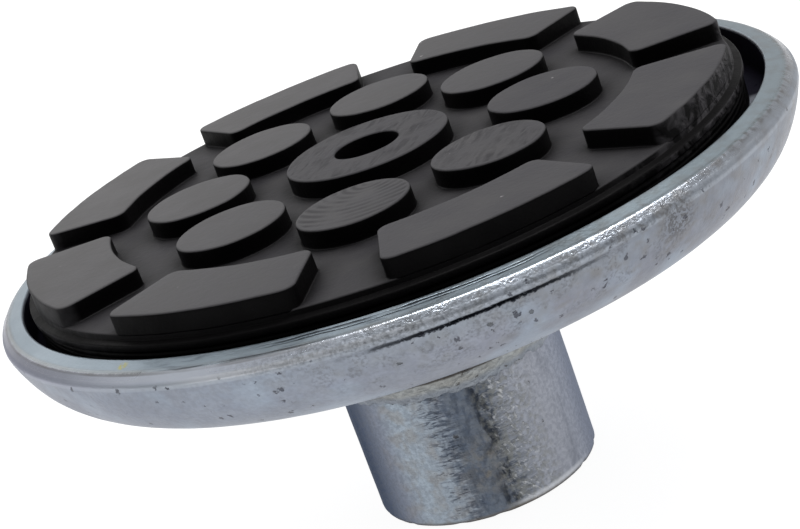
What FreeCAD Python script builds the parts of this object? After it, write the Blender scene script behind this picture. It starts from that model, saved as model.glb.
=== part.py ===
import FreeCAD, Part
import math
import os

os.makedirs("parts", exist_ok=True)
V = FreeCAD.Vector

# Sizes in millimetres. The origin is the centre of the stem's lower face and +Z runs up the stem.

# Stem: short solid round bar that drops into the arm's socket
stem_radius = 18.9
stem_length = 27.0
stem_edge_round = 1.0

# Weld bead in the corner between the stem and the underside of the dish
weld_height = 3.6
weld_leg = 1.7
weld_toe = 0.3
weld_prep = 1.2

# Dish: shallow bowl with a thick lip, flat round foot welded on the stem
cavity_radius = 62.1
foot_margin = 0.2
bowl_slope = 21.7
bowl_bend = 13.0
seat_above_stem = 21.3
seat_corner_round = 1.5
groove_above_seat = 3.7
groove_depth = 0.6
groove_width = 0.8
lip_width = 4.6
lip_overhang = 0.5
lip_outer_height = 6.0
lip_top_above_seat = 7.3
lip_outer_round = 1.6
lip_inner_round = 0.8

# Rubber pad: round base with a bead on its edge, seated in the dish a little off its centre
pad_off_centre = 0.8
pad_gap = 1.5
pad_base_thickness = 9.4
bead_reach = 1.2
bead_height = 1.3
bead_below_floor = 0.95
bead_slope = 0.3
skirt_inset = 0.5
pad_corner_clearance = 0.6

# Raised pattern on the pad: centre ring, round studs and blocks along the edge
pattern_height = 3.1
ring_radius = 13.7
hole_radius = 5.4
stud_count = 8
stud_circle_radius = 29.2
stud_radius = 9.0
block_count = 8
block_width = 14.6
block_gap_angle = 12.2
block_corner_round = 2.0
top_edge_round = 0.7

overlap = 1.0

# Sizes that follow from the ones above
stem_top = stem_length
weld_foot_z = stem_top - weld_height
prepared_radius = stem_radius - weld_prep
seat_z = stem_top + seat_above_stem
foot_radius = stem_radius + weld_leg + foot_margin
lip_radius = cavity_radius + lip_width
bowl_radius = lip_radius - lip_overhang
bead_radius = cavity_radius - pad_off_centre - pad_gap
pad_radius = bead_radius - bead_reach
floor_z = seat_z + pad_base_thickness
top_z = floor_z + pattern_height
block_outer_radius = pad_radius
block_inner_radius = block_outer_radius - block_width


def turned(points):
    """Solid of revolution about Z from (radius, height) corners."""
    wire = Part.makePolygon([V(r, 0, z) for r, z in points] + [V(points[0][0], 0, points[0][1])])
    return Part.Face(wire).revolve(V(0, 0, 0), V(0, 0, 1), 360)


def circles(shape, radius, height):
    """The round edges of a turned solid at this radius and height."""
    found = []
    for edge in shape.Edges:
        curve = edge.Curve
        if not isinstance(curve, Part.Circle):
            continue
        if abs(curve.Radius - radius) < 0.01 and abs(curve.Center.z - height) < 0.01:
            found.append(edge)
    return found


def export(shape, name):
    shape.exportStep("parts/" + name + ".step")


# Stem, its upper end bevelled for the weld
stem = turned([
    (0, 0),
    (stem_radius, 0),
    (stem_radius, weld_foot_z),
    (prepared_radius, stem_top),
    (0, stem_top),
])
stem = stem.makeFillet(stem_edge_round, circles(stem, stem_radius, 0.0))
export(stem, "stem")

# Weld bead: slightly domed fillet, its upper face against the foot and its inner face in the stem's bevel
bead_start = V(stem_radius, 0, weld_foot_z)
bead_toe = V(stem_radius + weld_toe, 0, weld_foot_z)
bead_end = V(stem_radius + weld_leg, 0, stem_top)
bead_corner = V(prepared_radius, 0, stem_top)
bead_crown = V(stem_radius + weld_leg * 0.5 + weld_toe, 0, stem_top - weld_height * 0.5)
weld_wire = Part.Wire([
    Part.makeLine(bead_start, bead_toe),
    Part.Arc(bead_toe, bead_crown, bead_end).toShape(),
    Part.makeLine(bead_end, bead_corner),
    Part.makeLine(bead_corner, bead_start),
])
weld = Part.Face(weld_wire).revolve(V(0, 0, 0), V(0, 0, 1), 360)
export(weld, "weld_bead")

# Dish: the underside is a cone that bends up into the wall, the lip overhangs a thin groove
slope = math.radians(bowl_slope)
corner_z = stem_top + (bowl_radius - foot_radius) * math.tan(slope)
tangent = bowl_bend * math.tan((math.pi / 2 - slope) / 2)
bend_start = V(bowl_radius - tangent * math.cos(slope), 0, corner_z - tangent * math.sin(slope))
bend_centre = V(bowl_radius - bowl_bend, 0, corner_z + tangent)
groove_z = seat_z + groove_above_seat
groove_r = bend_centre.x + math.sqrt(bowl_bend ** 2 - (groove_z - bend_centre.z) ** 2)
bend_end = V(groove_r, 0, groove_z)
middle = -(math.pi / 2 - slope) * 0.5
bend_middle = bend_centre + V(bowl_bend * math.cos(middle), 0, bowl_bend * math.sin(middle))
groove_floor = V(groove_r - groove_depth, 0, groove_z + groove_width * 0.4)
lip_low = V(lip_radius, 0, groove_z + groove_width)
lip_high = V(lip_radius, 0, seat_z + lip_outer_height)
lip_top = V(cavity_radius, 0, seat_z + lip_top_above_seat)
dish_wire = Part.Wire([
    Part.makeLine(V(0, 0, stem_top), V(foot_radius, 0, stem_top)),
    Part.makeLine(V(foot_radius, 0, stem_top), bend_start),
    Part.Arc(bend_start, bend_middle, bend_end).toShape(),
    Part.makeLine(bend_end, groove_floor),
    Part.makeLine(groove_floor, lip_low),
    Part.makeLine(lip_low, lip_high),
    Part.makeLine(lip_high, lip_top),
    Part.makeLine(lip_top, V(cavity_radius, 0, seat_z)),
    Part.makeLine(V(cavity_radius, 0, seat_z), V(0, 0, seat_z)),
    Part.makeLine(V(0, 0, seat_z), V(0, 0, stem_top)),
])
dish = Part.Face(dish_wire).revolve(V(0, 0, 0), V(0, 0, 1), 360)
dish = dish.makeFillet(lip_outer_round, circles(dish, lip_high.x, lip_high.z))
dish = dish.makeFillet(lip_inner_round, circles(dish, lip_top.x, lip_top.z))
dish = dish.makeFillet(seat_corner_round, circles(dish, cavity_radius, seat_z))
export(dish, "lift_dish")

# Rubber pad base: body, bead below the floor's edge, skirt down to the seat
bead_top = floor_z - bead_below_floor
bead_low = bead_top - bead_height
skirt_radius = bead_radius - skirt_inset
pad_chamfer = seat_corner_round + pad_corner_clearance
pad = turned([
    (0, seat_z),
    (skirt_radius - pad_chamfer, seat_z),
    (skirt_radius, seat_z + pad_chamfer),
    (skirt_radius, bead_low - bead_slope),
    (bead_radius, bead_low),
    (bead_radius, bead_top - bead_slope),
    (pad_radius, bead_top),
    (pad_radius, floor_z),
    (0, floor_z),
])


def raised(shape, height):
    """Rounds the upper edges of a raised shape."""
    tops = [e for e in shape.Edges if all(abs(v.Z - height) < 1e-6 for v in e.Vertexes)]
    return shape.makeFillet(top_edge_round, tops)


def block(angle):
    """Edge block: part of a ring with straight radial ends, centred on the angle given in degrees."""
    half = math.radians((360.0 / block_count - block_gap_angle) / 2)
    middle_angle = math.radians(angle)

    def at(radius, offset):
        return V(radius * math.cos(middle_angle + offset), radius * math.sin(middle_angle + offset), floor_z - overlap)

    outline = Part.Wire([
        Part.Arc(at(block_outer_radius, -half), at(block_outer_radius, 0), at(block_outer_radius, half)).toShape(),
        Part.makeLine(at(block_outer_radius, half), at(block_inner_radius, half)),
        Part.Arc(at(block_inner_radius, half), at(block_inner_radius, 0), at(block_inner_radius, -half)).toShape(),
        Part.makeLine(at(block_inner_radius, -half), at(block_outer_radius, -half)),
    ])
    solid = Part.Face(outline).extrude(V(0, 0, overlap + pattern_height))
    upright = [e for e in solid.Edges if abs(e.Vertexes[0].Z - e.Vertexes[-1].Z) > pattern_height / 2]
    return raised(solid.makeFillet(block_corner_round, upright), top_z)


def stud(angle):
    """Round stud on the stud circle."""
    x = stud_circle_radius * math.cos(math.radians(angle))
    y = stud_circle_radius * math.sin(math.radians(angle))
    solid = Part.makeCylinder(stud_radius, overlap + pattern_height, V(x, y, floor_z - overlap))
    return raised(solid, top_z)


raised_parts = [raised(Part.makeCylinder(ring_radius, overlap + pattern_height, V(0, 0, floor_z - overlap)), top_z)]
for i in range(stud_count):
    raised_parts.append(stud(i * 360.0 / stud_count))
for i in range(block_count):
    raised_parts.append(block((i + 0.5) * 360.0 / block_count))
pad = pad.fuse(raised_parts)
pad = pad.cut(Part.makeCylinder(hole_radius, top_z - seat_z + 2 * overlap, V(0, 0, seat_z - overlap)))
pad = pad.removeSplitter()
pad = pad.makeFillet(top_edge_round / 2, circles(pad, hole_radius, top_z))
pad.translate(V(-pad_off_centre, 0, 0))
export(pad, "rubber_pad")
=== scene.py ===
import math

import bpy
from mathutils import Matrix, Vector, noise


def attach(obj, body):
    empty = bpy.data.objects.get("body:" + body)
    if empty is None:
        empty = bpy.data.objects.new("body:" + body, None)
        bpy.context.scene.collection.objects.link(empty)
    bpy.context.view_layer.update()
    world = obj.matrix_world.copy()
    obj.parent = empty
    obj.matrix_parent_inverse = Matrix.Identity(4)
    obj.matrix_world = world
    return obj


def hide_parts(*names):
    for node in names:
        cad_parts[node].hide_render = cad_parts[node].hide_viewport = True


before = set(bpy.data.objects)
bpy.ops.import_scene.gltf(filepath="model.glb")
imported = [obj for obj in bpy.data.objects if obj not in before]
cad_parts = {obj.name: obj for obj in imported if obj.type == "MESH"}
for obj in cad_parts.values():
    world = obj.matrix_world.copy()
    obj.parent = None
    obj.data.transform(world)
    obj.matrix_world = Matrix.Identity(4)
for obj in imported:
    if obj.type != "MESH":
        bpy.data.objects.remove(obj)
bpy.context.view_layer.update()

body = "root"

# STEM
# Short solid steel bar, turned, then zinc plated together with the dish.
# It stands in a lift arm's socket, so its side is rubbed and stained and its lower edge is nicked.
mm = 0.001
stem_radius = 18.9
stem_length = 27.0
weld_height = 3.6
weld_prep = 1.2


def rounded(corners):
    """Profile (r, z) through corners given as (r, z, radius), with an arc where a corner has a radius."""
    points = []
    for i, (r, z, radius) in enumerate(corners):
        if radius == 0:
            points.append((r, z))
            continue
        here = Vector((r, z))
        back = (Vector(corners[i - 1][:2]) - here).normalized()
        on = (Vector(corners[(i + 1) % len(corners)][:2]) - here).normalized()
        half = back.angle(on) / 2
        centre = here + (back + on).normalized() * radius / math.sin(half)
        start = here + back * radius / math.tan(half) - centre
        turn = math.copysign(math.pi - 2 * half, back.cross(on))
        steps = max(3, round(abs(math.degrees(turn)) / 12))
        for k in range(steps + 1):
            points.append(tuple(centre + Matrix.Rotation(-turn * k / steps, 2) @ start))
    return points


def divided(points, longest):
    """The same profile with its long straight runs cut into even steps."""
    out = [points[0]]
    for (r0, z0), (r1, z1) in zip(points, points[1:]):
        count = max(1, math.ceil(math.hypot(r1 - r0, z1 - z0) / longest))
        out += [(r0 + (r1 - r0) * k / count, z0 + (z1 - z0) * k / count) for k in range(1, count + 1)]
    return out


def turned_mesh(name, profile, steps, wander, centre_x=0.0):
    """Closed mesh turned about a vertical axis from (r, z) in mm; wander gives how far a point strays."""
    on_axis = profile[0][0] == 0
    rings = [p for p in profile if p[0] > 0]
    verts, faces = [], []
    for r, z in rings:
        for k in range(steps):
            angle = math.tau * k / steps
            dr, dz = wander(r, z, angle)
            reach = r + dr
            verts.append(Vector((centre_x + reach * math.cos(angle), reach * math.sin(angle), z + dz)) * mm)
    count = len(rings)
    for i in range(count - 1 if on_axis else count):
        j = (i + 1) % count
        for k in range(steps):
            after = (k + 1) % steps
            faces.append((i * steps + k, i * steps + after, j * steps + after, j * steps + k))
    if on_axis:
        low = len(verts)
        verts += [Vector((centre_x, 0, profile[0][1])) * mm, Vector((centre_x, 0, profile[-1][1])) * mm]
        last = (count - 1) * steps
        for k in range(steps):
            after = (k + 1) % steps
            faces += [(low, after, k), (low + 1, last + k, last + after)]
    mesh = bpy.data.meshes.new(name)
    mesh.from_pydata(verts, [], faces)
    mesh.shade_smooth()
    return mesh


def bumps(r, z, angle, size, seed=0.0):
    """Noise from -1 to 1 on the surface, with bumps about this size in mm."""
    return noise.noise(Vector((r * math.cos(angle), r * math.sin(angle), z)) / size + Vector((seed, seed, 0)))


def put_in(piece, node):
    """Lets a piece ride on the body in place of a CAD node."""
    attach(piece, body)
    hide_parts(node)


def shown(name, mesh, finish):
    """Object with this mesh and finish, at the origin."""
    mesh.materials.append(finish)
    piece = bpy.data.objects.new(name, mesh)
    bpy.context.scene.collection.objects.link(piece)
    return piece


def linear(hex_colour):
    """sRGB hex colour as linear RGBA."""
    parts = [int(hex_colour[i:i + 2], 16) / 255 for i in (1, 3, 5)]
    return tuple(c / 12.92 if c <= 0.04045 else ((c + 0.055) / 1.055) ** 2.4 for c in parts) + (1.0,)


def add(tree, kind, inputs=None, **settings):
    """Adds a node with its settings; an input given as a socket is linked, any other is set."""
    made = tree.nodes.new(kind)
    for key, value in settings.items():
        setattr(made, key, value)
    for key, value in (inputs or {}).items():
        if isinstance(value, bpy.types.NodeSocket):
            tree.links.new(value, made.inputs[key])
        else:
            made.inputs[key].default_value = value
    return made


def new_finish(name):
    """Empty material: its tree and the place on the object in mm."""
    finish = bpy.data.materials.new(name)
    finish.use_nodes = True
    tree = finish.node_tree
    tree.nodes.clear()
    place = add(tree, "ShaderNodeTexCoord").outputs["Object"]
    place = add(tree, "ShaderNodeVectorMath", {0: place, "Scale": 1000.0}, operation="SCALE").outputs[0]
    return finish, tree, place


def clouds(tree, place, size, low=0.35, high=0.65, detail=3.0, stretch=(1, 1, 1), distortion=0.0):
    """Soft patches about this size in mm, 0 to 1, sharper when low and high are close."""
    scaled = add(tree, "ShaderNodeVectorMath", {
        0: place, 1: tuple(1 / (size * s) for s in stretch)}, operation="MULTIPLY")
    patches = add(tree, "ShaderNodeTexNoise", {
        "Vector": scaled.outputs[0], "Scale": 1.0, "Detail": detail, "Distortion": distortion})
    return add(tree, "ShaderNodeMapRange", {
        "Value": patches.outputs["Fac"], "From Min": low, "From Max": high}).outputs[0]


def specks(tree, place, spacing, size, seed=0.0):
    """Ragged spots, 0 to 1: one in each cell of this spacing in mm, of random size up to this one."""
    shake = add(tree, "ShaderNodeTexNoise", {"Vector": place, "Scale": 2.4 / size, "Detail": 1.0})
    offset = add(tree, "ShaderNodeVectorMath", {
        0: shake.outputs["Color"], 1: (0.5, 0.5, 0.5)}, operation="SUBTRACT")
    offset = add(tree, "ShaderNodeVectorMath", {0: offset.outputs[0], "Scale": size}, operation="SCALE")
    moved = add(tree, "ShaderNodeVectorMath", {0: place, 1: offset.outputs[0]}, operation="ADD")
    moved = add(tree, "ShaderNodeVectorMath", {0: moved.outputs[0], 1: (seed, seed, seed)}, operation="ADD")
    cells = add(tree, "ShaderNodeTexVoronoi", {"Vector": moved.outputs[0], "Scale": 1 / spacing})
    lot = add(tree, "ShaderNodeSeparateColor", {"Color": cells.outputs["Color"]})
    reach = add(tree, "ShaderNodeMath", {0: lot.outputs[0], 1: 2.0}, operation="POWER")
    reach = add(tree, "ShaderNodeMath", {0: reach.outputs[0], 1: 0.5 * size / spacing}, operation="MULTIPLY")
    inside = add(tree, "ShaderNodeMath", {
        0: reach.outputs[0], 1: cells.outputs["Distance"]}, operation="SUBTRACT")
    return add(tree, "ShaderNodeMapRange", {
        "Value": inside.outputs[0], "From Max": 0.15 * size / spacing}).outputs[0]


def facing(tree, place, angle, half_width, soft):
    """1 on the side that faces this angle (degrees from -Y towards +X), fading over soft degrees."""
    side = (math.sin(math.radians(angle)), -math.cos(math.radians(angle)), 0)
    flat = add(tree, "ShaderNodeVectorMath", {0: place, 1: (1, 1, 0)}, operation="MULTIPLY")
    unit = add(tree, "ShaderNodeVectorMath", {0: flat.outputs[0]}, operation="NORMALIZE")
    dot = add(tree, "ShaderNodeVectorMath", {0: unit.outputs[0], 1: side}, operation="DOT_PRODUCT")
    return add(tree, "ShaderNodeMapRange", {
        "Value": dot.outputs["Value"], "From Min": math.cos(math.radians(half_width + soft)),
        "From Max": math.cos(math.radians(half_width - soft))}, interpolation_type="SMOOTHSTEP").outputs[0]


def band(tree, value, low, high, soft):
    """1 where the value lies between low and high, fading over soft."""
    rise = add(tree, "ShaderNodeMapRange", {
        "Value": value, "From Min": low - soft, "From Max": low}).outputs[0]
    fall = add(tree, "ShaderNodeMapRange", {
        "Value": value, "From Min": high, "From Max": high + soft, "To Min": 1.0, "To Max": 0.0}).outputs[0]
    return add(tree, "ShaderNodeMath", {0: rise, 1: fall}, operation="MULTIPLY").outputs[0]


def overlap(tree, *masks, operation="MULTIPLY"):
    """Where all these masks meet or, with MAXIMUM, where any of them lies."""
    joined = masks[0]
    for mask in masks[1:]:
        joined = add(tree, "ShaderNodeMath", {0: joined, 1: mask}, operation=operation).outputs[0]
    return joined


def coats(tree, ground, *layers):
    """Colour built up from a ground (hex or socket) and (mask, hex colour, strength) layers over it."""
    colour = linear(ground) if isinstance(ground, str) else ground
    for mask, hex_colour, strength in layers:
        amount = add(tree, "ShaderNodeMath", {0: mask, 1: strength}, operation="MULTIPLY").outputs[0]
        colour = add(tree, "ShaderNodeMix", {
            0: amount, 6: colour, 7: linear(hex_colour)}, data_type="RGBA").outputs[2]
    return colour


def relief(tree, *layers):
    """Surface normal with (height mask, depth in mm) layers; a negative depth sinks."""
    normal = None
    for height, depth in layers:
        inputs = {"Height": height, "Distance": abs(depth) * mm, "Strength": 1.0}
        if normal:
            inputs["Normal"] = normal
        normal = add(tree, "ShaderNodeBump", inputs, invert=depth < 0).outputs[0]
    return normal


def stem_wander(r, z, angle):
    """Small dents, and nicks on the lower edge."""
    edge = max(0.0, 1 - math.hypot(r - stem_radius, z) / 2.0)
    nick = 0.35 * edge * max(0.0, bumps(r, z, angle, 2.4, 3.0) - 0.1)
    return (0.04 * bumps(r, z, angle, 6.0) - nick if r > 17 else 0.0), (0.7 * nick if z < 1.2 else 0.0)


stem_profile = divided(rounded([
    (0, 0, 0), (stem_radius, 0, 1.0), (stem_radius, stem_length - weld_height, 0),
    (stem_radius - weld_prep, stem_length, 0), (0, stem_length, 0)]), 0.9)

# Rubbed zinc plate on steel: blue-grey colour that changes round the bar, with a dark left edge and a dark
# upright band painted in as reflection of dark surroundings, soft upright streaks, short curved wipe marks
# beside the band, brown film, painted glints and a painted highlight on the foot's edge; gives the eye a bar
# that has been turned in its socket. The plate's grain is far finer than a render shows, so it is drawn 0.35
# mm coarse.
rubbed_zinc, tree, place = new_finish("rubbed_zinc_plate")
parts = add(tree, "ShaderNodeSeparateXYZ", {0: place}).outputs
height = parts[2]
front_first = add(tree, "ShaderNodeMath", {0: parts[1], 1: -1.0}, operation="MULTIPLY").outputs[0]
turn = add(tree, "ShaderNodeMath", {0: parts[0], 1: front_first}, operation="ARCTAN2").outputs[0]
flattened = add(tree, "ShaderNodeVectorMath", {
    0: place, 1: (0.42, 0.42, 1.9)}, operation="MULTIPLY").outputs[0]
wipes = add(tree, "ShaderNodeTexNoise", {
    "Vector": flattened, "Scale": 1.0, "Detail": 3.0, "Distortion": 1.2}).outputs["Fac"]
ragged = add(tree, "ShaderNodeMapRange", {
    "Value": wipes, "From Min": 0.25, "From Max": 0.75, "To Min": -0.17, "To Max": 0.17}).outputs[0]
ragged = overlap(tree, ragged, facing(tree, place, 2, 30, 12))
share = add(tree, "ShaderNodeMath", {0: turn, 1: ragged}, operation="ADD").outputs[0]
share = add(tree, "ShaderNodeMapRange", {
    "Value": share, "From Min": -math.pi, "From Max": math.pi}).outputs[0]
# The dark left edge (about -80 degrees) and the dark band (about -2 to 20 degrees) in this colour are painted
# reflection of dark surroundings; the rest is the plate's own colour.
tones_and_reflections_round_bar = (
    (-178, "#8f939e"), (-120, "#7d828e"), (-80, "#363c49"), (-57, "#5a606d"), (-40, "#868c99"),
    (-26, "#a3afba"), (-11, "#949ea9"), (-2, "#576170"), (11, "#535c69"), (17, "#464c57"),
    (22, "#6f747b"), (34, "#989ca6"), (48, "#9a9da6"), (70, "#9a9ea9"), (140, "#8f939e"))
tones_and_reflections = add(tree, "ShaderNodeValToRGB", {0: share})
for degrees, tone in tones_and_reflections_round_bar:
    tones_and_reflections.color_ramp.elements.new(degrees / 360 + 0.5).color = linear(tone)
tones_and_reflections.color_ramp.elements.remove(tones_and_reflections.color_ramp.elements[0])
tones_and_reflections.color_ramp.elements.remove(tones_and_reflections.color_ramp.elements[-1])

streaks = clouds(tree, place, 1.9, 0.35, 0.7, 4.0, stretch=(1, 1, 9))
fine = clouds(tree, place, 0.7, 0.4, 0.62, 5.0)
grain = clouds(tree, place, 0.35, 0.3, 0.7, 3.0)
film = overlap(tree, clouds(tree, place, 2.6, 0.45, 0.62, 5.0), facing(tree, place, -22, 16, 12))
low_film = overlap(
    tree, facing(tree, place, 9, 7, 6), band(tree, height, 6.0, 13.0, 2.5),
    clouds(tree, place, 1.5, 0.36, 0.6, 5.0))
smudges = overlap(tree, facing(tree, place, 6, 10, 6), clouds(tree, place, 1.7, 0.42, 0.62, 6.0))
mottled = overlap(
    tree, facing(tree, place, 4, 12, 6), clouds(tree, place, 0.8, 0.46, 0.6, 5.0, stretch=(1, 1, 1.8)))
curls = add(tree, "ShaderNodeMapRange", {"Value": wipes, "From Min": 0.56, "From Max": 0.6}).outputs[0]
curls = overlap(tree, curls, facing(tree, place, -7, 7, 5), clouds(tree, place, 3.0, 0.42, 0.55, 3.0))
dark_bits = overlap(
    tree, facing(tree, place, 16.5, 3, 3), clouds(tree, place, 1.1, 0.44, 0.57, 5.0, stretch=(1, 1, 2.4)))
crumbs = overlap(tree, facing(tree, place, 29, 9, 12), clouds(tree, place, 0.9, 0.44, 0.62, 6.0))
leaning = add(tree, "ShaderNodeVectorRotate", {
    "Vector": place, "Angle": math.radians(38)}, rotation_type="Y_AXIS").outputs[0]
glints = overlap(
    tree, facing(tree, place, 27, 6, 8), clouds(tree, leaning, 0.5, 0.56, 0.7, 3.0, stretch=(1, 1, 2.2)))
dark_streak = overlap(
    tree, facing(tree, place, 57, 2, 3), clouds(tree, place, 3.0, 0.4, 0.55, 3.0, stretch=(1, 1, 4)))
normal = add(tree, "ShaderNodeNewGeometry").outputs["Normal"]
normal_z = add(tree, "ShaderNodeSeparateXYZ", {0: normal}).outputs[2]
end_face = add(tree, "ShaderNodeMapRange", {
    "Value": normal_z, "From Min": -0.7, "From Max": -0.95}).outputs[0]
foot_film = band(tree, height, -1.0, 0.45, 0.6)
foot_shine = overlap(tree, band(tree, height, 0.9, 1.3, 0.5), facing(tree, place, 40, 20, 12))
pits = specks(tree, place, 3.4, 0.9)
colour = coats(
    tree, tones_and_reflections.outputs[0],
    (streaks, "#868b97", 0.22), (fine, "#7b8088", 0.25), (film, "#8c857c", 0.4), (low_film, "#726f6a", 0.75),
    (smudges, "#777d84", 0.4), (mottled, "#39414e", 0.45), (curls, "#414854", 0.4),
    (dark_bits, "#22262e", 0.85), (crumbs, "#7b7c77", 0.55), (glints, "#cfd1d4", 0.55),
    (dark_streak, "#7c8089", 0.6), (end_face, "#80848c", 0.9), (foot_shine, "#d0d3d8", 0.6),
    (foot_film, "#675f53", 0.75), (pits, "#3d3a3a", 0.7))
uneven = relief(
    tree, (streaks, 0.012), (grain, 0.012), (fine, 0.025), (curls, -0.04), (crumbs, 0.05), (glints, 0.06),
    (pits, -0.1))
dullness = add(tree, "ShaderNodeMapRange", {"Value": fine, "To Min": 0.38, "To Max": 0.5}).outputs[0]
shader = add(tree, "ShaderNodeBsdfPrincipled", {
    "Base Color": colour, "Metallic": 1.0, "Specular Tint": linear("#9fa6b4"), "Roughness": dullness,
    "Normal": uneven})
add(tree, "ShaderNodeOutputMaterial", {"Surface": shader.outputs[0]})

stem = shown("stem_bar", turned_mesh("stem_bar", stem_profile, 288, stem_wander), rubbed_zinc)
put_in(stem, "stem")

# WELD
# Hand-laid fillet that joins the stem to the dish's foot, plated over with the rest.
# Its ripples are coarse and its lower edge runs out unevenly onto the stem.
ripple_count = 46


def weld_wander(r, z, angle):
    """Ripples of the laid metal, deeper on its face than at its edges."""
    if r < stem_radius - 0.2:
        return 0.0, 0.0
    ripple = 0.09 * math.sin(angle * ripple_count + 2.2 * bumps(r, 0, angle, 9.0))
    lump = 0.2 * bumps(r, z, angle, 2.2, 7.0)
    run_out = 0.45 * bumps(r, 0, angle, 4.0, 2.0) if z < stem_length - 1.6 else 0.0
    return ripple * (z < stem_length - 0.3) + lump * (z < stem_length - 0.2), run_out


# The bead's section, from its seat in the stem's bevel down to its toe and up its face to the dish's foot.
weld_profile = [
    (17.2, 26.9), (18.3, 22.8), (18.8, 22.9), (19.0, 23.3), (19.2, 23.9), (19.5, 24.6), (19.85, 25.2),
    (20.2, 25.8), (20.5, 26.3), (20.75, 26.75), (20.6, 26.99)]

# Plated weld metal: rough, duller and more yellow than the plate beside it, with burnt brown in its hollows
# and a painted dark reflection on its left side; gives the eye a joint made by hand under the plating.
weld_finish, tree, place = new_finish("plated_weld_metal")
height = add(tree, "ShaderNodeSeparateXYZ", {0: place}).outputs[2]
lumps = clouds(tree, place, 1.1, 0.35, 0.65, 4.0)
film = clouds(tree, place, 5.0, 0.4, 0.6, 4.0)
pits = specks(tree, place, 1.6, 0.9)
# Painted dark reflection on the left side, as on the stem.
far_side_shade = facing(tree, place, -66, 30, 22)
run_out = band(tree, height, 20.0, 23.9, 0.9)
burnt = overlap(tree, band(tree, height, 26.45, 28.0, 0.3), facing(tree, place, 8, 24, 20))
colour = coats(
    tree, "#a4a8a9", (lumps, "#8c8f91", 0.6), (film, "#98948b", 0.35), (far_side_shade, "#70757f", 0.7),
    (run_out, "#868d98", 0.75), (pits, "#56524c", 0.7), (burnt, "#2e2824", 0.85))
uneven = relief(tree, (lumps, 0.15), (pits, -0.15))
dullness = add(tree, "ShaderNodeMapRange", {"Value": lumps, "To Min": 0.42, "To Max": 0.62}).outputs[0]
shader = add(tree, "ShaderNodeBsdfPrincipled", {
    "Base Color": colour, "Metallic": 1.0, "Roughness": dullness, "Normal": uneven})
add(tree, "ShaderNodeOutputMaterial", {"Surface": shader.outputs[0]})

weld = shown("laid_weld", turned_mesh("laid_weld", weld_profile, 360, weld_wander), weld_finish)
put_in(weld, "weld_bead")

# DISH
# Shallow round dish of pressed steel with a thick rolled lip, zinc plated and clear passivated.
# Its outer side is uneven, with pits, stains and a ragged crease under the lip at the front.
foot_radius = 20.8
bowl_radius = 66.2
lip_radius = 66.7
cavity_radius = 62.1
seat_z = 48.3
lip_height = 7.3
groove_z = 52.0
slope = math.radians(21.7)
bend = 13.0
crease_radius = 66.0
crease_middle = 15.0
crease_reach = 20.0
merge_z = 47.0
merge_height = 5.6
lip_z = 53.0


def crease(angle):
    """How deep the crease under the lip is, 0 to 1: ragged at the front, faded to the left and right."""
    azimuth = (math.degrees(angle) + 90 + 180) % 360 - 180
    front = max(0.0, 1 - abs(azimuth - crease_middle) / crease_reach) ** 0.6
    back = 0.4 if abs(azimuth) > 120 else 0.0
    ragged = 0.5 * bumps(crease_radius, 0, angle, 4.0, 11.0) + 0.6 * bumps(crease_radius, 0, angle, 1.6, 6.0)
    return max(front, back) * (0.66 + ragged)


def bowl_r_at(z):
    """Radius of the bowl's bend at this height, carried straight on above the bend."""
    return bend_r + math.sqrt(bend ** 2 - (min(z, bend_z) - bend_z) ** 2)


def dish_wander(r, z, angle):
    """Uneven pressed surface; the crease fades where the lip runs smoothly into the bowl."""
    if z > seat_z - 0.5 and r < cavity_radius - 1.0:
        return 0.0, 0.0
    dr = 0.1 * bumps(r, z, angle, 16.0) + 0.03 * bumps(r, z, angle, 3.0, 5.0)
    if merge_z < z < groove_z + 0.8 and r > cavity_radius + 1.5:
        merged = max(r, bowl_r_at(z)) if z < groove_z - 0.1 else bowl_r_at(z)
        merged += 0.5 * min(1.0, (z - merge_z) / merge_height) ** 2
        dr += (merged - r) * (1 - min(1.0, crease(angle)))
    outer = 1.0 if r > foot_radius + 2 else 0.0
    return dr * outer, 0.5 * dr * outer if z > lip_z else 0.0


tangent = bend * math.tan((math.pi / 2 - slope) / 2)
corner_z = stem_length + (bowl_radius - foot_radius) * math.tan(slope)
bend_r, bend_z = bowl_radius - bend, corner_z + tangent
bend_end = math.degrees(math.asin((groove_z - 0.15 - bend_z) / bend))
bend_start = math.degrees(slope) - 90
bend_steps = 30
bowl_side = []
for k in range(bend_steps + 1):
    lean = math.radians(bend_start + (bend_end - bend_start) * k / bend_steps)
    bowl_side.append((bend_r + bend * math.cos(lean), bend_z + bend * math.sin(lean)))

# The underside, the crease below the lip, the lip's facets and the seat, up from the foot and in to the axis.
dish_under = divided([(foot_radius, stem_length), bowl_side[0]], 1.2) + bowl_side[1:]
dish_lip = [(65.72, groove_z - 0.02), (65.78, groove_z + 0.1), (66.3, groove_z + 0.24)] + divided(rounded([
    (66.5, groove_z + 0.45, 0), (lip_radius, groove_z + 1.1, 1.0), (lip_radius - 0.45, groove_z + 1.78, 1.5),
    (lip_radius - 1.4, groove_z + 2.76, 0.85), (cavity_radius, seat_z + lip_height, 0.45),
    (cavity_radius, seat_z, 1.5), (cavity_radius - 6, seat_z, 0)]), 0.3)
dish_profile = [(0, stem_length), (10, stem_length)] + dish_under + dish_lip + [(30, seat_z), (0, seat_z)]

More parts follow.
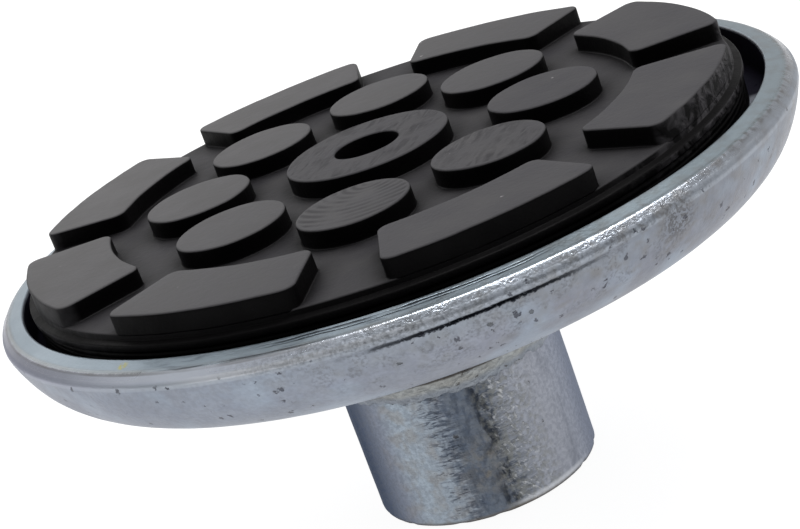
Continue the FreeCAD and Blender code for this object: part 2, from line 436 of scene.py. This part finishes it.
# Zinc plated steel, clear passivated: milky blue-grey with a lavender cast and paler blue patches, scratches,
# hairlines, a crack and a thin tan line round the lip, brown stains, grime and dark pits; gives the eye
# a tough plating that has been handled. Light and shade are painted into it as well: lighter faces that point
# up, a much lighter outer side of the lip, darker far and right sides, near-black shade in the gap round the
# pad, in the screw hole and along the crease under the lip, and dark reflection near the lip's inner edge.
# Its grain is far finer than a render shows, so it is drawn 0.35 mm coarse.
zinc, tree, place = new_finish("zinc_plated_steel")
height = add(tree, "ShaderNodeSeparateXYZ", {0: place}).outputs[2]
normal = add(tree, "ShaderNodeNewGeometry").outputs["Normal"]
normal_z = add(tree, "ShaderNodeSeparateXYZ", {0: normal}).outputs[2]
flat = add(tree, "ShaderNodeVectorMath", {0: place, 1: (1, 1, 0)}, operation="MULTIPLY").outputs[0]
radius = add(tree, "ShaderNodeVectorMath", {0: flat}, operation="LENGTH").outputs["Value"]

# A place that changes slowly round the dish and fast across its rim, for patterns that run round the rim.
unit = add(tree, "ShaderNodeVectorMath", {0: flat}, operation="NORMALIZE").outputs[0]
turn = add(tree, "ShaderNodeVectorMath", {0: unit, "Scale": 9.0}, operation="SCALE").outputs[0]
along = add(tree, "ShaderNodeMath", {0: radius, 1: height}, operation="ADD").outputs[0]
along = add(tree, "ShaderNodeMath", {0: along, 1: 1.4}, operation="MULTIPLY").outputs[0]
lift = add(tree, "ShaderNodeCombineXYZ", {2: along}).outputs[0]
ring_place = add(tree, "ShaderNodeVectorMath", {0: turn, 1: lift}, operation="ADD").outputs[0]

# Wandering radius and height, for marks whose edges aren't true circles.
slow = add(tree, "ShaderNodeTexNoise", {"Vector": ring_place, "Scale": 0.5, "Detail": 3.0}).outputs["Fac"]
ragged_radius = add(tree, "ShaderNodeMath", {
    0: slow, 1: 1.3, 2: radius}, operation="MULTIPLY_ADD").outputs[0]
shake = add(tree, "ShaderNodeTexNoise", {
    "Vector": place, "Scale": 1.7, "Detail": 5.0, "Roughness": 0.65}).outputs["Fac"]
ragged_height = add(tree, "ShaderNodeMath", {
    0: shake, 1: 1.7, 2: height}, operation="MULTIPLY_ADD").outputs[0]

# The dish's faces and sides, which also carry painted light and shade: lighter, bluer faces that point up, a
# much lighter outer side and belly of the lip, a lighter left side and darker far and right sides.
up = add(tree, "ShaderNodeMapRange", {"Value": normal_z, "From Min": 0.75, "From Max": 0.95}).outputs[0]
up_slope = add(tree, "ShaderNodeMapRange", {"Value": normal_z, "From Min": 0.3, "From Max": 0.6}).outputs[0]
down_slope = add(tree, "ShaderNodeMapRange", {
    "Value": normal_z, "From Min": 0.0, "From Max": -0.3}).outputs[0]
turned_under = add(tree, "ShaderNodeMapRange", {
    "Value": normal_z, "From Min": -0.15, "From Max": -0.7}).outputs[0]
left_side_light = facing(tree, place, -60, 60, 30)
far_side_shade = facing(tree, place, -78, 32, 22)
front = facing(tree, place, 18, 26, 12)
right_side = facing(tree, place, 68, 42, 22)
front_left = overlap(tree, facing(tree, place, -20, 20, 10), band(tree, height, 53.7, 55.0, 0.4))
lower = overlap(tree, band(tree, height, 30.0, 48.0, 3.0), down_slope)
crisp = overlap(tree, band(tree, radius, 64.9, 66.0, 0.3), up_slope)
upright = add(tree, "ShaderNodeMapRange", {
    "Value": normal_z, "From Min": 0.84, "From Max": 0.95, "To Min": 1.0, "To Max": 0.0}).outputs[0]
lip_side_light = overlap(tree, upright, band(tree, height, 53.0, 55.0, 0.6), band(tree, radius, 63.5, 70.0, 0.5))
lip_belly_light = overlap(tree, lip_side_light, band(tree, height, 53.15, 53.7, 0.2))
side_band = overlap(tree, band(tree, height, 52.7, 54.3, 0.4), front)
undercut = overlap(tree, band(tree, radius, 20.0, 22.0, 0.5), clouds(tree, place, 1.4, 0.3, 0.5, 3.0))
# Painted shade: near black in the gap round the pad and on the seat under it, and on the seat under the screw
# hole; the small lit patch of seat is painted light.
gap_shade = overlap(tree, band(tree, radius, 30.0, 62.5, 0.15), band(tree, height, 48.25, 54.9, 0.3))
lit_seat = overlap(tree, facing(tree, place, 90.5, 2.5, 1.5), band(tree, height, 48.0, 48.6, 0.3))
hole_shade = overlap(tree, band(tree, radius, -1.0, 7.0, 0.3), band(tree, height, 48.0, 48.6, 0.1))

# Its plating.
patches = clouds(tree, place, 12.0, 0.38, 0.62, 3.0)
mottle = clouds(tree, place, 1.9, 0.35, 0.65, 5.0)
fine = clouds(tree, place, 0.7, 0.4, 0.62, 4.0)
grain = clouds(tree, place, 0.35, 0.3, 0.7, 3.0)
ring_streaks = clouds(tree, ring_place, 1.0, 0.42, 0.66, 4.0)
pale_blue = overlap(tree, clouds(tree, place, 9.0, 0.5, 0.66, 2.0), band(tree, height, 36.0, 51.5, 1.5))
speckled = overlap(tree, side_band, clouds(tree, place, 0.55, 0.46, 0.6, 4.0))

# Its stains and dirt.
veil = overlap(tree, clouds(tree, place, 2.2, 0.46, 0.68, 8.0), band(tree, height, 47.0, 54.6, 3.0))
stains = overlap(tree, veil, right_side)
film = overlap(tree, veil, front)
grime = overlap(
    tree, clouds(tree, place, 3.6, 0.46, 0.58, 3.0), front, clouds(tree, place, 0.45, 0.46, 0.62, 8.0),
    band(tree, height, 46.5, 54.3, 1.5))
tint_line = overlap(
    tree, band(tree, height, 54.55, 54.85, 0.15), facing(tree, place, -40, 44, 12),
    clouds(tree, ring_place, 1.6, 0.3, 0.6, 3.0))
edge_stain = overlap(
    tree, band(tree, radius, 65.1, 65.6, 0.35), up_slope, facing(tree, place, 75, 30, 8),
    clouds(tree, place, 1.1, 0.46, 0.62, 5.0))
# Painted shade: a ragged dark line along the crease under the lip at the front.
crease_shade = overlap(tree, band(tree, ragged_height, 52.6, 52.97, 0.2), facing(tree, place, 15, 8, 9))
from_yellow = add(tree, "ShaderNodeVectorMath", {
    0: place, 1: (-35.3, -53.0, 55.2)}, operation="DISTANCE").outputs["Value"]
yellow = overlap(tree, band(tree, from_yellow, -1.0, 0.5, 0.5), clouds(tree, place, 0.5, 0.4, 0.55, 3.0))

# Its scratches, a crack and its pits; the dark lines near the lip's inner edge are scratches and painted dark
# reflection of its inner rounding.
gaps_between = clouds(tree, ring_place, 0.9, 0.32, 0.48, 3.0)
lip_top = add(tree, "ShaderNodeMapRange", {"Value": height, "From Min": 54.4, "From Max": 54.6}).outputs[0]
scuffs_and_dark_reflection = overlap(
    tree, band(tree, ragged_radius, 63.7, 63.92, 0.14), band(tree, ragged_radius, 64.3, 64.42, 0.12),
    operation="MAXIMUM")
scuffs_and_dark_reflection = overlap(tree, scuffs_and_dark_reflection, gaps_between, facing(tree, place, 6, 16, 6), lip_top)
crack = overlap(
    tree, band(tree, ragged_radius, 65.6, 65.75, 0.12), facing(tree, place, -15, 9, 4), up_slope,
    gaps_between)
hairlines = overlap(tree, clouds(tree, ring_place, 0.7, 0.53, 0.66, 4.0), up, facing(tree, place, -8, 18, 8))
pits = overlap(tree, specks(tree, place, 3.0, 1.3), band(tree, height, 40.0, 53.5, 1.0))
small_pits = overlap(tree, specks(tree, place, 1.7, 1.0, 40.0), band(tree, height, 38.0, 52.9, 0.6))
from_cluster = add(tree, "ShaderNodeVectorMath", {
    0: place, 1: (43.9, -49.1, 51.0)}, operation="DISTANCE").outputs["Value"]
cluster = overlap(tree, band(tree, from_cluster, -1.0, 1.6, 2.2), clouds(tree, place, 0.5, 0.48, 0.56, 5.0))
craters, rings = [], []
for x, y, z, size, hollow in (
        (12.6, -63.3, 47.5, 0.25, 0), (17.3, -63.1, 49.6, 0.3, 0), (22.7, -61.1, 48.9, 0.2, 0),
        (4.4, -64.8, 48.4, 0.15, 0), (8.6, -64.9, 49.6, 0.95, 0.6), (-1.6, -65.3, 49.3, 0.9, 0.5)):
    away = add(tree, "ShaderNodeVectorMath", {0: place, 1: (x, y, z)}, operation="DISTANCE").outputs["Value"]
    away = add(tree, "ShaderNodeMath", {0: shake, 1: 1.3, 2: away}, operation="MULTIPLY_ADD").outputs[0]
    if hollow:
        rings.append(band(tree, away, hollow + 0.65, size + 0.65, 0.25))
    else:
        craters.append(band(tree, away, -1.0, size + 0.65, 0.16))
craters = overlap(tree, *craters, operation="MAXIMUM")
rings = overlap(tree, *rings, operation="MAXIMUM")
rings = overlap(tree, rings, clouds(tree, place, 0.6, 0.35, 0.6, 4.0))

# Painted light and shade among these coats: the left, far and right sides, the faces that point up, the lip's
# outer side and belly, the underside on the far side, the gap and the hole; the small lit patch of seat is
# painted light.
colour = coats(
    tree, "#8e949b",
    (lower, "#9294a2", 0.8), (left_side_light, "#8b94a3", 0.8), (far_side_shade, "#747b8a", 0.7),
    (right_side, "#686b74", 0.6), (patches, "#858993", 0.45), (mottle, "#9a9fa8", 0.35),
    (fine, "#7c8088", 0.4), (up, "#919ea7", 0.85), (overlap(tree, up, right_side), "#95a1a8", 0.85),
    (lip_side_light, "#b6bdc6", 0.9), (overlap(tree, lip_side_light, front_left), "#d4dae6", 0.8),
    (overlap(tree, lip_side_light, far_side_shade), "#9293a3", 0.8),
    (overlap(tree, lip_side_light, right_side), "#9a9fa7", 0.85),
    (overlap(tree, turned_under, far_side_shade), "#666a7c", 0.65),
    (overlap(tree, lip_belly_light, facing(tree, place, -6, 12, 9)), "#eceff4", 0.85),
    (pale_blue, "#a3b3c4", 0.35), (ring_streaks, "#7c828e", 0.12), (side_band, "#939aa4", 0.45),
    (speckled, "#55575b", 0.4), (tint_line, "#757370", 0.65), (film, "#797973", 0.25),
    (stains, "#77706a", 0.3), (edge_stain, "#605c58", 0.5), (grime, "#55565a", 0.38),
    (cluster, "#4b4845", 0.55), (yellow, "#a8a14a", 0.8), (hairlines, "#454c55", 0.5),
    (crack, "#2a2e35", 0.8), (scuffs_and_dark_reflection, "#1d2129", 0.9), (crease_shade, "#14171f", 0.97),
    (small_pits, "#45464e", 0.8), (pits, "#383942", 0.75), (craters, "#40413f", 0.6),
    (rings, "#5c5e62", 0.5), (undercut, "#3a322b", 0.85), (gap_shade, "#16121e", 0.97),
    (hole_shade, "#26262a", 0.85), (lit_seat, "#9599a2", 0.7))
uneven = relief(
    tree, (mottle, 0.01), (grain, 0.008), (fine, 0.01), (grime, -0.018), (scuffs_and_dark_reflection, -0.05), (small_pits, -0.06),
    (pits, -0.15), (craters, -0.15), (cluster, -0.06))
bare = add(tree, "ShaderNodeMath", {0: 1.0, 1: gap_shade}, operation="SUBTRACT").outputs[0]
dullness = add(tree, "ShaderNodeMapRange", {"Value": patches, "To Min": 0.38, "To Max": 0.46}).outputs[0]
for mask, duller in ((crisp, -0.15), (gap_shade, 0.4), (lip_belly_light, 0.15)):
    dullness = add(tree, "ShaderNodeMath", {
        0: mask, 1: duller, 2: dullness}, operation="MULTIPLY_ADD").outputs[0]
shader = add(tree, "ShaderNodeBsdfPrincipled", {
    "Base Color": colour, "Metallic": bare, "Roughness": dullness, "Specular IOR Level": 0.0,
    "Normal": uneven})
add(tree, "ShaderNodeOutputMaterial", {"Surface": shader.outputs[0]})

dish = shown("plated_dish", turned_mesh("plated_dish", dish_profile, 600, dish_wander), zinc)
put_in(dish, "lift_dish")

# RUBBER PAD
# Moulded black rubber disc pressed into the dish, with a bead round its edge, a ring about the screw hole,
# eight studs and eight edge blocks; all edges are softly rounded as a mould leaves them.
pad_centre = -0.8
pad_radius = 58.6
bead_radius = 59.8
bead_low_z = 55.45
bead_high_z = 56.45
floor_z = 57.7
top_z = 60.8
ring_radius = 13.7
hole_radius = 5.4
stud_circle = 29.2
stud_radius = 9.0
block_width = 14.6
block_gap = 12.2
block_corner = 2.0
pattern_count = 8
unevenness = 0.18
edge_round = 0.4
foot_flare = 0.2
rib_count = 5
lowest_rib_z = 50.9
rib_pitch = 0.85
rib_radius = 59.3
rib_depth = 0.18


def pad_wander(r, z, angle):
    """Slightly uneven moulded surfaces."""
    return 0.05 * bumps(r, z, angle, 6.0), 0.05 * bumps(r, z, angle, 9.0, 4.0) if z > 50 else 0.0


pad_ribs = []
for k in range(rib_count):
    low = lowest_rib_z + rib_pitch * k
    pad_ribs += [
        (rib_radius, low), (rib_radius, low + 0.45), (rib_radius - rib_depth, low + 0.55),
        (rib_radius - rib_depth, low + 0.75)]
pad_profile = divided(rounded([
    (hole_radius, seat_z, 0), (rib_radius - 2.1, seat_z, 0), (rib_radius, seat_z + 2.1, 0)]), 4.0)
pad_profile += pad_ribs + divided(rounded([
    (rib_radius, bead_low_z - 0.3, 0), (bead_radius, bead_low_z, 0.2), (bead_radius, bead_high_z, 0.4),
    (pad_radius, bead_high_z + 0.3, 0.15), (pad_radius, floor_z, 0.35), (ring_radius, floor_z, foot_flare),
    (ring_radius, top_z, edge_round),
    (hole_radius, top_z, 0.35), (hole_radius, seat_z + 0.4, 0)]), 1.2)

# Black rubber, matte: near-black walls; faces that point up painted grey as sheen, stronger towards the back
# left, with painted shade on the ring and one stud and dust on them; the open floor's grey fading to black
# near walls as painted shade, and painted light on the blocks' left walls; mould grain and short curved wipe
# marks on the ring and two studs; gives the eye firm moulded rubber, neither shiny nor clean.
# The mould's grain is too fine for a render to show, so it is drawn 0.5 mm coarse.
rubber, tree, place = new_finish("matte_black_rubber")
height = add(tree, "ShaderNodeSeparateXYZ", {0: place}).outputs[2]
normal = add(tree, "ShaderNodeNewGeometry").outputs["Normal"]
normal_z = add(tree, "ShaderNodeSeparateXYZ", {0: normal}).outputs[2]
flat = add(tree, "ShaderNodeVectorMath", {0: place, 1: (1, 1, 0)}, operation="MULTIPLY").outputs[0]
radius = add(tree, "ShaderNodeVectorMath", {0: flat}, operation="LENGTH").outputs["Value"]
dust = clouds(tree, place, 7.0, 0.35, 0.68, 5.0)
grain = clouds(tree, place, 0.5, 0.3, 0.7, 3.0)
dimples = clouds(tree, place, 1.6, 0.35, 0.65, 3.0)
lint = specks(tree, place, 8.0, 0.7, 9.0)

# Its faces: the tops of the raised shapes, the open floor between them, and the outer walls of the blocks.
up = add(tree, "ShaderNodeMapRange", {"Value": normal_z, "From Min": 0.35, "From Max": 0.95}).outputs[0]
raised = add(tree, "ShaderNodeMapRange", {"Value": height, "From Min": 58.5, "From Max": 60.5}).outputs[0]
on_top = overlap(tree, up, raised)
# Painted shade: the floor's grey fades out near walls by ambient occlusion.
floor_out_of_shade = add(tree, "ShaderNodeAmbientOcclusion", {"Distance": 0.0045}, samples=6).outputs["AO"]
floor_out_of_shade = add(tree, "ShaderNodeMapRange", {
    "Value": floor_out_of_shade, "From Min": 0.5, "From Max": 1.0}).outputs[0]
floor_out_of_shade = overlap(tree, up, floor_out_of_shade, band(tree, height, 57.4, 70.0, 0.3))
upright = add(tree, "ShaderNodeMapRange", {
    "Value": normal_z, "From Min": 0.3, "From Max": 0.7, "To Min": 1.0, "To Max": 0.0}).outputs[0]
at_edge = add(tree, "ShaderNodeMapRange", {"Value": radius, "From Min": 56.5, "From Max": 57.5}).outputs[0]
wall = overlap(tree, upright, band(tree, height, 54.5, 62.0, 0.8), at_edge)
rough_wall = overlap(
    tree, wall, facing(tree, place, 80, 28, 16), clouds(tree, place, 2.4, 0.4, 0.66, 5.0, distortion=0.6))
# Painted light on the walls that face left.
lit_left_wall = overlap(
    tree, wall, facing(tree, place, -80, 30, 18), clouds(tree, place, 3.0, 0.3, 0.6, 5.0))
to_far_left = add(tree, "ShaderNodeVectorMath", {
    0: place, 1: (-0.85, 0.5, 0)}, operation="DOT_PRODUCT").outputs["Value"]
sheen_to_back_left = add(tree, "ShaderNodeMapRange", {
    "Value": to_far_left, "From Min": -30.0, "From Max": 55.0}).outputs[0]

# Its wipe marks: nested arcs on the front stud, combed lines on the ring and on the stud to its right.
arcs_place = add(tree, "ShaderNodeVectorMath", {
    0: place, 1: (-1.2, 21.5, -top_z)}, operation="ADD").outputs[0]
nested = add(tree, "ShaderNodeTexWave", {
    "Vector": arcs_place, "Scale": 0.2, "Distortion": 5.0, "Detail": 1.5, "Detail Scale": 0.3},
    wave_type="RINGS", rings_direction="SPHERICAL").outputs["Fac"]
aslant = add(tree, "ShaderNodeVectorRotate", {
    "Vector": place, "Angle": math.radians(14)}, rotation_type="Z_AXIS").outputs[0]
combed = clouds(tree, aslant, 1.1, 0.42, 0.62, 2.0, stretch=(1, 5, 1), distortion=0.5)
# Painted shade: the tops of the ring and of the stud on +X a little darker.
shaded_tops = []
for x, y, reach in ((pad_centre, 0.0, 14.0), (pad_centre + stud_circle, 0.0, 9.3)):
    away = add(tree, "ShaderNodeVectorMath", {
        0: place, 1: (x, y, top_z)}, operation="DISTANCE").outputs["Value"]
    shaded_tops.append(overlap(tree, band(tree, away, -1.0, reach, 0.2), on_top))
shaded_tops = overlap(tree, *shaded_tops, operation="MAXIMUM")
wiped = []
for x, y, reach, marks in (
        (pad_centre, 0.0, 13.0, combed), (pad_centre, -stud_circle, 8.3, nested), (19.8, -20.6, 8.3, combed)):
    away = add(tree, "ShaderNodeVectorMath", {
        0: place, 1: (x, y, top_z)}, operation="DISTANCE").outputs["Value"]
    wiped.append(overlap(tree, band(tree, away, -1.0, reach, 0.4), marks))
wiped = overlap(tree, *wiped, operation="MAXIMUM")
wiped = overlap(tree, wiped, clouds(tree, place, 5.0, 0.35, 0.6, 2.0), on_top)

# Painted light in these coats: the grey on the tops is painted sheen, growing towards the back left; the ring
# and one stud top are painted darker as shade; the floor's grey fades into painted shade at the walls, and
# the left walls carry painted light. Dust, lint and wipe marks are the rubber's own.
colour = coats(
    tree, "#020102", (rough_wall, "#4c4a4d", 0.85), (lit_left_wall, "#3a393b", 0.8), (floor_out_of_shade, "#333235", 1.0),
    (overlap(tree, dust, floor_out_of_shade), "#464545", 0.5), (on_top, "#424144", 1.0),
    (overlap(tree, on_top, sheen_to_back_left), "#5c5b5c", 1.0), (shaded_tops, "#3b3a3e", 0.6),
    (overlap(tree, dust, on_top), "#61605f", 0.25), (wiped, "#29282b", 0.65),
    (overlap(tree, lint, on_top), "#a9a6a8", 0.8))
uneven = relief(tree, (dimples, 0.02), (grain, 0.02), (rough_wall, 0.2), (wiped, -0.06))
dullness = add(tree, "ShaderNodeMapRange", {"Value": dust, "To Min": 0.5, "To Max": 0.62}).outputs[0]
shader = add(tree, "ShaderNodeBsdfPrincipled", {
    "Base Color": colour, "Roughness": dullness, "Specular IOR Level": 0.08, "Normal": uneven})
add(tree, "ShaderNodeOutputMaterial", {"Surface": shader.outputs[0]})


def block_outline(inset):
    """Outline of an edge block in mm, drawn in by inset; a flare at its foot leaves its outer arc alone."""
    outer, inner = pad_radius - max(0.0, inset), pad_radius - block_width + inset
    half = math.radians((360 / pattern_count - block_gap) / 2)
    corner = max(0.4, block_corner - inset)
    points = []
    for radius, side, first_end, first_turn in ((outer, 1, -1, -math.pi / 2), (inner, -1, 1, math.pi / 2)):
        mid = radius - side * corner
        turn_in = half - math.asin((inset + corner) / mid)
        for quarter, end in enumerate((first_end, -first_end)):
            out_angle = end * turn_in
            middle = Vector((math.cos(out_angle), math.sin(out_angle))) * mid
            for k in range(7):
                angle = out_angle + first_turn + (quarter + k / 6) * math.pi / 2
                points.append(middle + Vector((math.cos(angle), math.sin(angle))) * corner)
            if end == first_end:
                for k in range(1, 24):
                    angle = out_angle * (1 - k / 12)
                    points.append(Vector((math.cos(angle), math.sin(angle))) * radius)
    return points


def stud_outline(inset):
    """Outline of the stud on +X in mm, drawn in by inset."""
    reach = stud_radius - inset
    angles = [math.tau * k / 72 for k in range(72)]
    return [(stud_circle + reach * math.cos(angle), reach * math.sin(angle)) for angle in angles]


def lofted_mesh(name, loops):
    """Closed mesh through equal loops of (x, y, z) in mm, from the lowest to the one that closes the top."""
    count = len(loops[0])
    verts = [Vector(p) * mm for loop in loops for p in loop]
    faces = [tuple(reversed(range(count))), tuple((len(loops) - 1) * count + k for k in range(count))]
    for i in range(len(loops) - 1):
        for k in range(count):
            after = (k + 1) % count
            faces.append((i * count + k, i * count + after, (i + 1) * count + after, (i + 1) * count + k))
    mesh = bpy.data.meshes.new(name)
    mesh.from_pydata(verts, [], faces)
    mesh.shade_smooth()
    return mesh


raised_steps = [
    (-foot_flare, floor_z - 0.2), (-foot_flare, floor_z), (-0.1, floor_z + 0.05), (-0.03, floor_z + 0.14),
    (0, floor_z + 0.35)]
raised_steps += [(0, floor_z + 0.35 + 0.45 * k) for k in range(1, 6)]
for degrees in (18, 36, 54, 72, 90):
    lean = math.radians(degrees)
    raised_steps.append((edge_round * (1 - math.cos(lean)), top_z - edge_round * (1 - math.sin(lean))))
raised_steps += [(1.4, top_z), (2.4, top_z + 0.02), (4.0, top_z + 0.03), (5.8, top_z + 0.03)]
block_mesh = lofted_mesh("edge_block", [
    [(x, y, z) for x, y in block_outline(inset)] for inset, z in raised_steps])
stud_mesh = lofted_mesh("stud", [
    [(x, y, z) for x, y in stud_outline(inset)] for inset, z in raised_steps + [(7.4, top_z + 0.03)]])


def copies_tree():
    """Geometry nodes: copies of a shape turned round an upright axis, each a little uneven."""
    group = bpy.data.node_groups.new("copies_round_axis", "GeometryNodeTree")
    sockets = {}
    for name, kind in (
            ("Shape", "NodeSocketGeometry"), ("Copies", "NodeSocketInt"),
            ("First angle", "NodeSocketFloat"), ("Centre", "NodeSocketVector"),
            ("Unevenness", "NodeSocketFloat"), ("Finish", "NodeSocketMaterial")):
        sockets[name] = group.interface.new_socket(name, in_out="INPUT", socket_type=kind).identifier
    group.interface.new_socket("Copies made", in_out="OUTPUT", socket_type="NodeSocketGeometry")
    given = add(group, "NodeGroupInput").outputs
    step = add(group, "ShaderNodeMath", {0: math.tau, 1: given["Copies"]}, operation="DIVIDE").outputs[0]
    index = add(group, "GeometryNodeInputIndex").outputs[0]
    angle = add(group, "ShaderNodeMath", {
        0: index, 1: step, 2: given["First angle"]}, operation="MULTIPLY_ADD").outputs[0]
    turned = add(group, "ShaderNodeCombineXYZ", {2: angle}).outputs[0]
    points = add(group, "GeometryNodePoints", {"Count": given["Copies"]}).outputs[0]
    placed = add(group, "GeometryNodeInstanceOnPoints", {
        "Points": points, "Instance": given["Shape"], "Rotation": turned}).outputs[0]
    real = add(group, "GeometryNodeRealizeInstances", {0: placed}).outputs[0]
    position = add(group, "GeometryNodeInputPosition").outputs[0]
    waves = add(group, "ShaderNodeTexNoise", {"Vector": position, "Scale": 170.0, "Detail": 1.0})
    stray = add(group, "ShaderNodeVectorMath", {
        0: waves.outputs["Color"], 1: (0.5, 0.5, 0.5)}, operation="SUBTRACT")
    stray = add(group, "ShaderNodeVectorMath", {
        0: stray.outputs[0], "Scale": given["Unevenness"]}, operation="SCALE")
    stray = add(group, "ShaderNodeVectorMath", {
        0: stray.outputs[0], 1: given["Centre"]}, operation="ADD").outputs[0]
    moved = add(group, "GeometryNodeSetPosition", {"Geometry": real, "Offset": stray}).outputs[0]
    finished = add(group, "GeometryNodeSetMaterial", {
        "Geometry": moved, "Material": given["Finish"]}).outputs[0]
    add(group, "NodeGroupOutput", {0: finished})
    return group, sockets


copies_group, copies_inputs = copies_tree()


def ring_of_copies(name, shape, first_angle):
    """Piece with evenly spaced copies of a shape round the pad's centre, as one plain mesh."""
    piece = shown(name, shape, rubber)
    copies = piece.modifiers.new("copies", "NODES")
    copies.node_group = copies_group
    copies[copies_inputs["Copies"]] = pattern_count
    copies[copies_inputs["First angle"]] = first_angle
    copies[copies_inputs["Centre"]] = (pad_centre * mm, 0.0, 0.0)
    copies[copies_inputs["Unevenness"]] = unevenness * mm
    copies[copies_inputs["Finish"]] = rubber
    finished = piece.evaluated_get(bpy.context.evaluated_depsgraph_get())
    made = bpy.data.meshes.new_from_object(finished)
    piece.modifiers.clear()
    piece.data = made
    return piece


pad_base = shown("rubber_base", turned_mesh("rubber_base", pad_profile, 360, pad_wander, pad_centre), rubber)
pad_studs = ring_of_copies("rubber_studs", stud_mesh, 0.0)
pad_blocks = ring_of_copies("rubber_blocks", block_mesh, math.radians(180 / pattern_count))
for piece in (pad_base, pad_studs, pad_blocks):
    put_in(piece, "rubber_pad")

# SURROUNDINGS
# Plain white floor and sky of a product photo, a long lamp overhead, a soft one behind and the camera.
# The floor keeps a faint shadow; metal sees the same white floor.
studio_radius = 3.0
studio_drop = 0.0001
floor_finish = bpy.data.materials.new("plain_pale_floor")
floor_finish.use_nodes = True
tree = floor_finish.node_tree
tree.nodes.clear()
rays = add(tree, "ShaderNodeLightPath").outputs
seen = add(tree, "ShaderNodeMath", {0: rays["Is Camera Ray"], 1: rays["Is Glossy Ray"]}, operation="MAXIMUM")
seen = add(tree, "ShaderNodeMath", {
    0: seen.outputs[0], 1: rays["Is Transmission Ray"]}, operation="MAXIMUM").outputs[0]
pale = add(tree, "ShaderNodeBsdfDiffuse", {"Color": linear("#e8e8e8")})
faint = add(tree, "ShaderNodeBsdfDiffuse", {"Color": linear("#828282")})
glow = add(tree, "ShaderNodeEmission", {"Color": linear("#f7f7f7"), "Strength": 1.0})
lit = add(tree, "ShaderNodeAddShader", {0: faint.outputs[0], 1: glow.outputs[0]})
surface = add(tree, "ShaderNodeMixShader", {0: seen, 1: pale.outputs[0], 2: lit.outputs[0]})
add(tree, "ShaderNodeOutputMaterial", {"Surface": surface.outputs[0]})
floor_edge = []
for k in range(96):
    angle = math.tau * k / 96
    floor_edge.append((studio_radius * math.cos(angle), studio_radius * math.sin(angle), -studio_drop))
floor_mesh = bpy.data.meshes.new("studio_floor")
floor_mesh.from_pydata(floor_edge, [], [tuple(range(len(floor_edge)))])
floor_mesh.materials.append(floor_finish)
studio_floor = bpy.data.objects.new("studio_floor", floor_mesh)
bpy.context.scene.collection.objects.link(studio_floor)

sky = bpy.data.worlds.new("studio_sky")
sky.use_nodes = True
tree = sky.node_tree
tree.nodes.clear()
generated = add(tree, "ShaderNodeTexCoord").outputs["Generated"]
direction = add(tree, "ShaderNodeSeparateXYZ", {0: generated}).outputs
back = add(tree, "ShaderNodeMath", {
    0: direction[2], 1: 0.9, 2: direction[1]}, operation="MULTIPLY_ADD").outputs[0]
back = add(tree, "ShaderNodeMapRange", {"Value": back, "From Min": -0.8, "From Max": 0.5}).outputs[0]
colour = add(tree, "ShaderNodeMix", {
    0: back, 6: linear("#54575e"), 7: linear("#ffffff")}, data_type="RGBA").outputs[2]
light = add(tree, "ShaderNodeBackground", {"Color": colour, "Strength": 0.6})
add(tree, "ShaderNodeOutputWorld", {"Surface": light.outputs[0]})
bpy.context.scene.world = sky

for name, place, size, power, along in (
        ("lamp_strip", (0.23, 0.02, 0.8), (0.75, 0.08), 4.6, (0.92, 0.4, 0)),
        ("lamp_back", (-0.5, 0.8, 0.6), (0.8, 0.8), 1.2, (1, 0, 0))):
    lamp_data = bpy.data.lights.new(name, "AREA")
    lamp_data.shape = "ELLIPSE"
    lamp_data.size, lamp_data.size_y = size
    lamp_data.energy = power
    lamp = bpy.data.objects.new(name, lamp_data)
    away = (Vector(place) - Vector((0, 0, 0.03))).normalized()
    across = away.cross(Vector(along)).normalized()
    axes = Matrix((across.cross(away), across, away)).transposed().to_4x4()
    lamp.matrix_world = Matrix.Translation(place) @ axes
    bpy.context.scene.collection.objects.link(lamp)

azimuth, elevation, roll = math.radians(13.83), math.radians(18.935), math.radians(21.265)
level = Vector((math.cos(azimuth), math.sin(azimuth), 0))
forward = Vector((
    -math.sin(azimuth) * math.cos(elevation), math.cos(azimuth) * math.cos(elevation), -math.sin(elevation)))
upright = level.cross(forward)
right = math.cos(roll) * level - math.sin(roll) * upright
top = math.sin(roll) * level + math.cos(roll) * upright
camera_data = bpy.data.cameras.new("photo_camera")
camera_data.sensor_width = 36.0
camera_data.lens = 92.07
camera_data.shift_x = 0.15
camera_data.shift_y = 0.075
camera_data.clip_start = 0.01
camera = bpy.data.objects.new("photo_camera", camera_data)
axes = Matrix((right, top, -forward)).transposed().to_4x4()
camera.matrix_world = Matrix.Translation((0.05242, -0.31388, 0.14654)) @ axes
bpy.context.scene.collection.objects.link(camera)
bpy.context.scene.camera = camera
bpy.context.scene.view_settings.view_transform = "Standard"
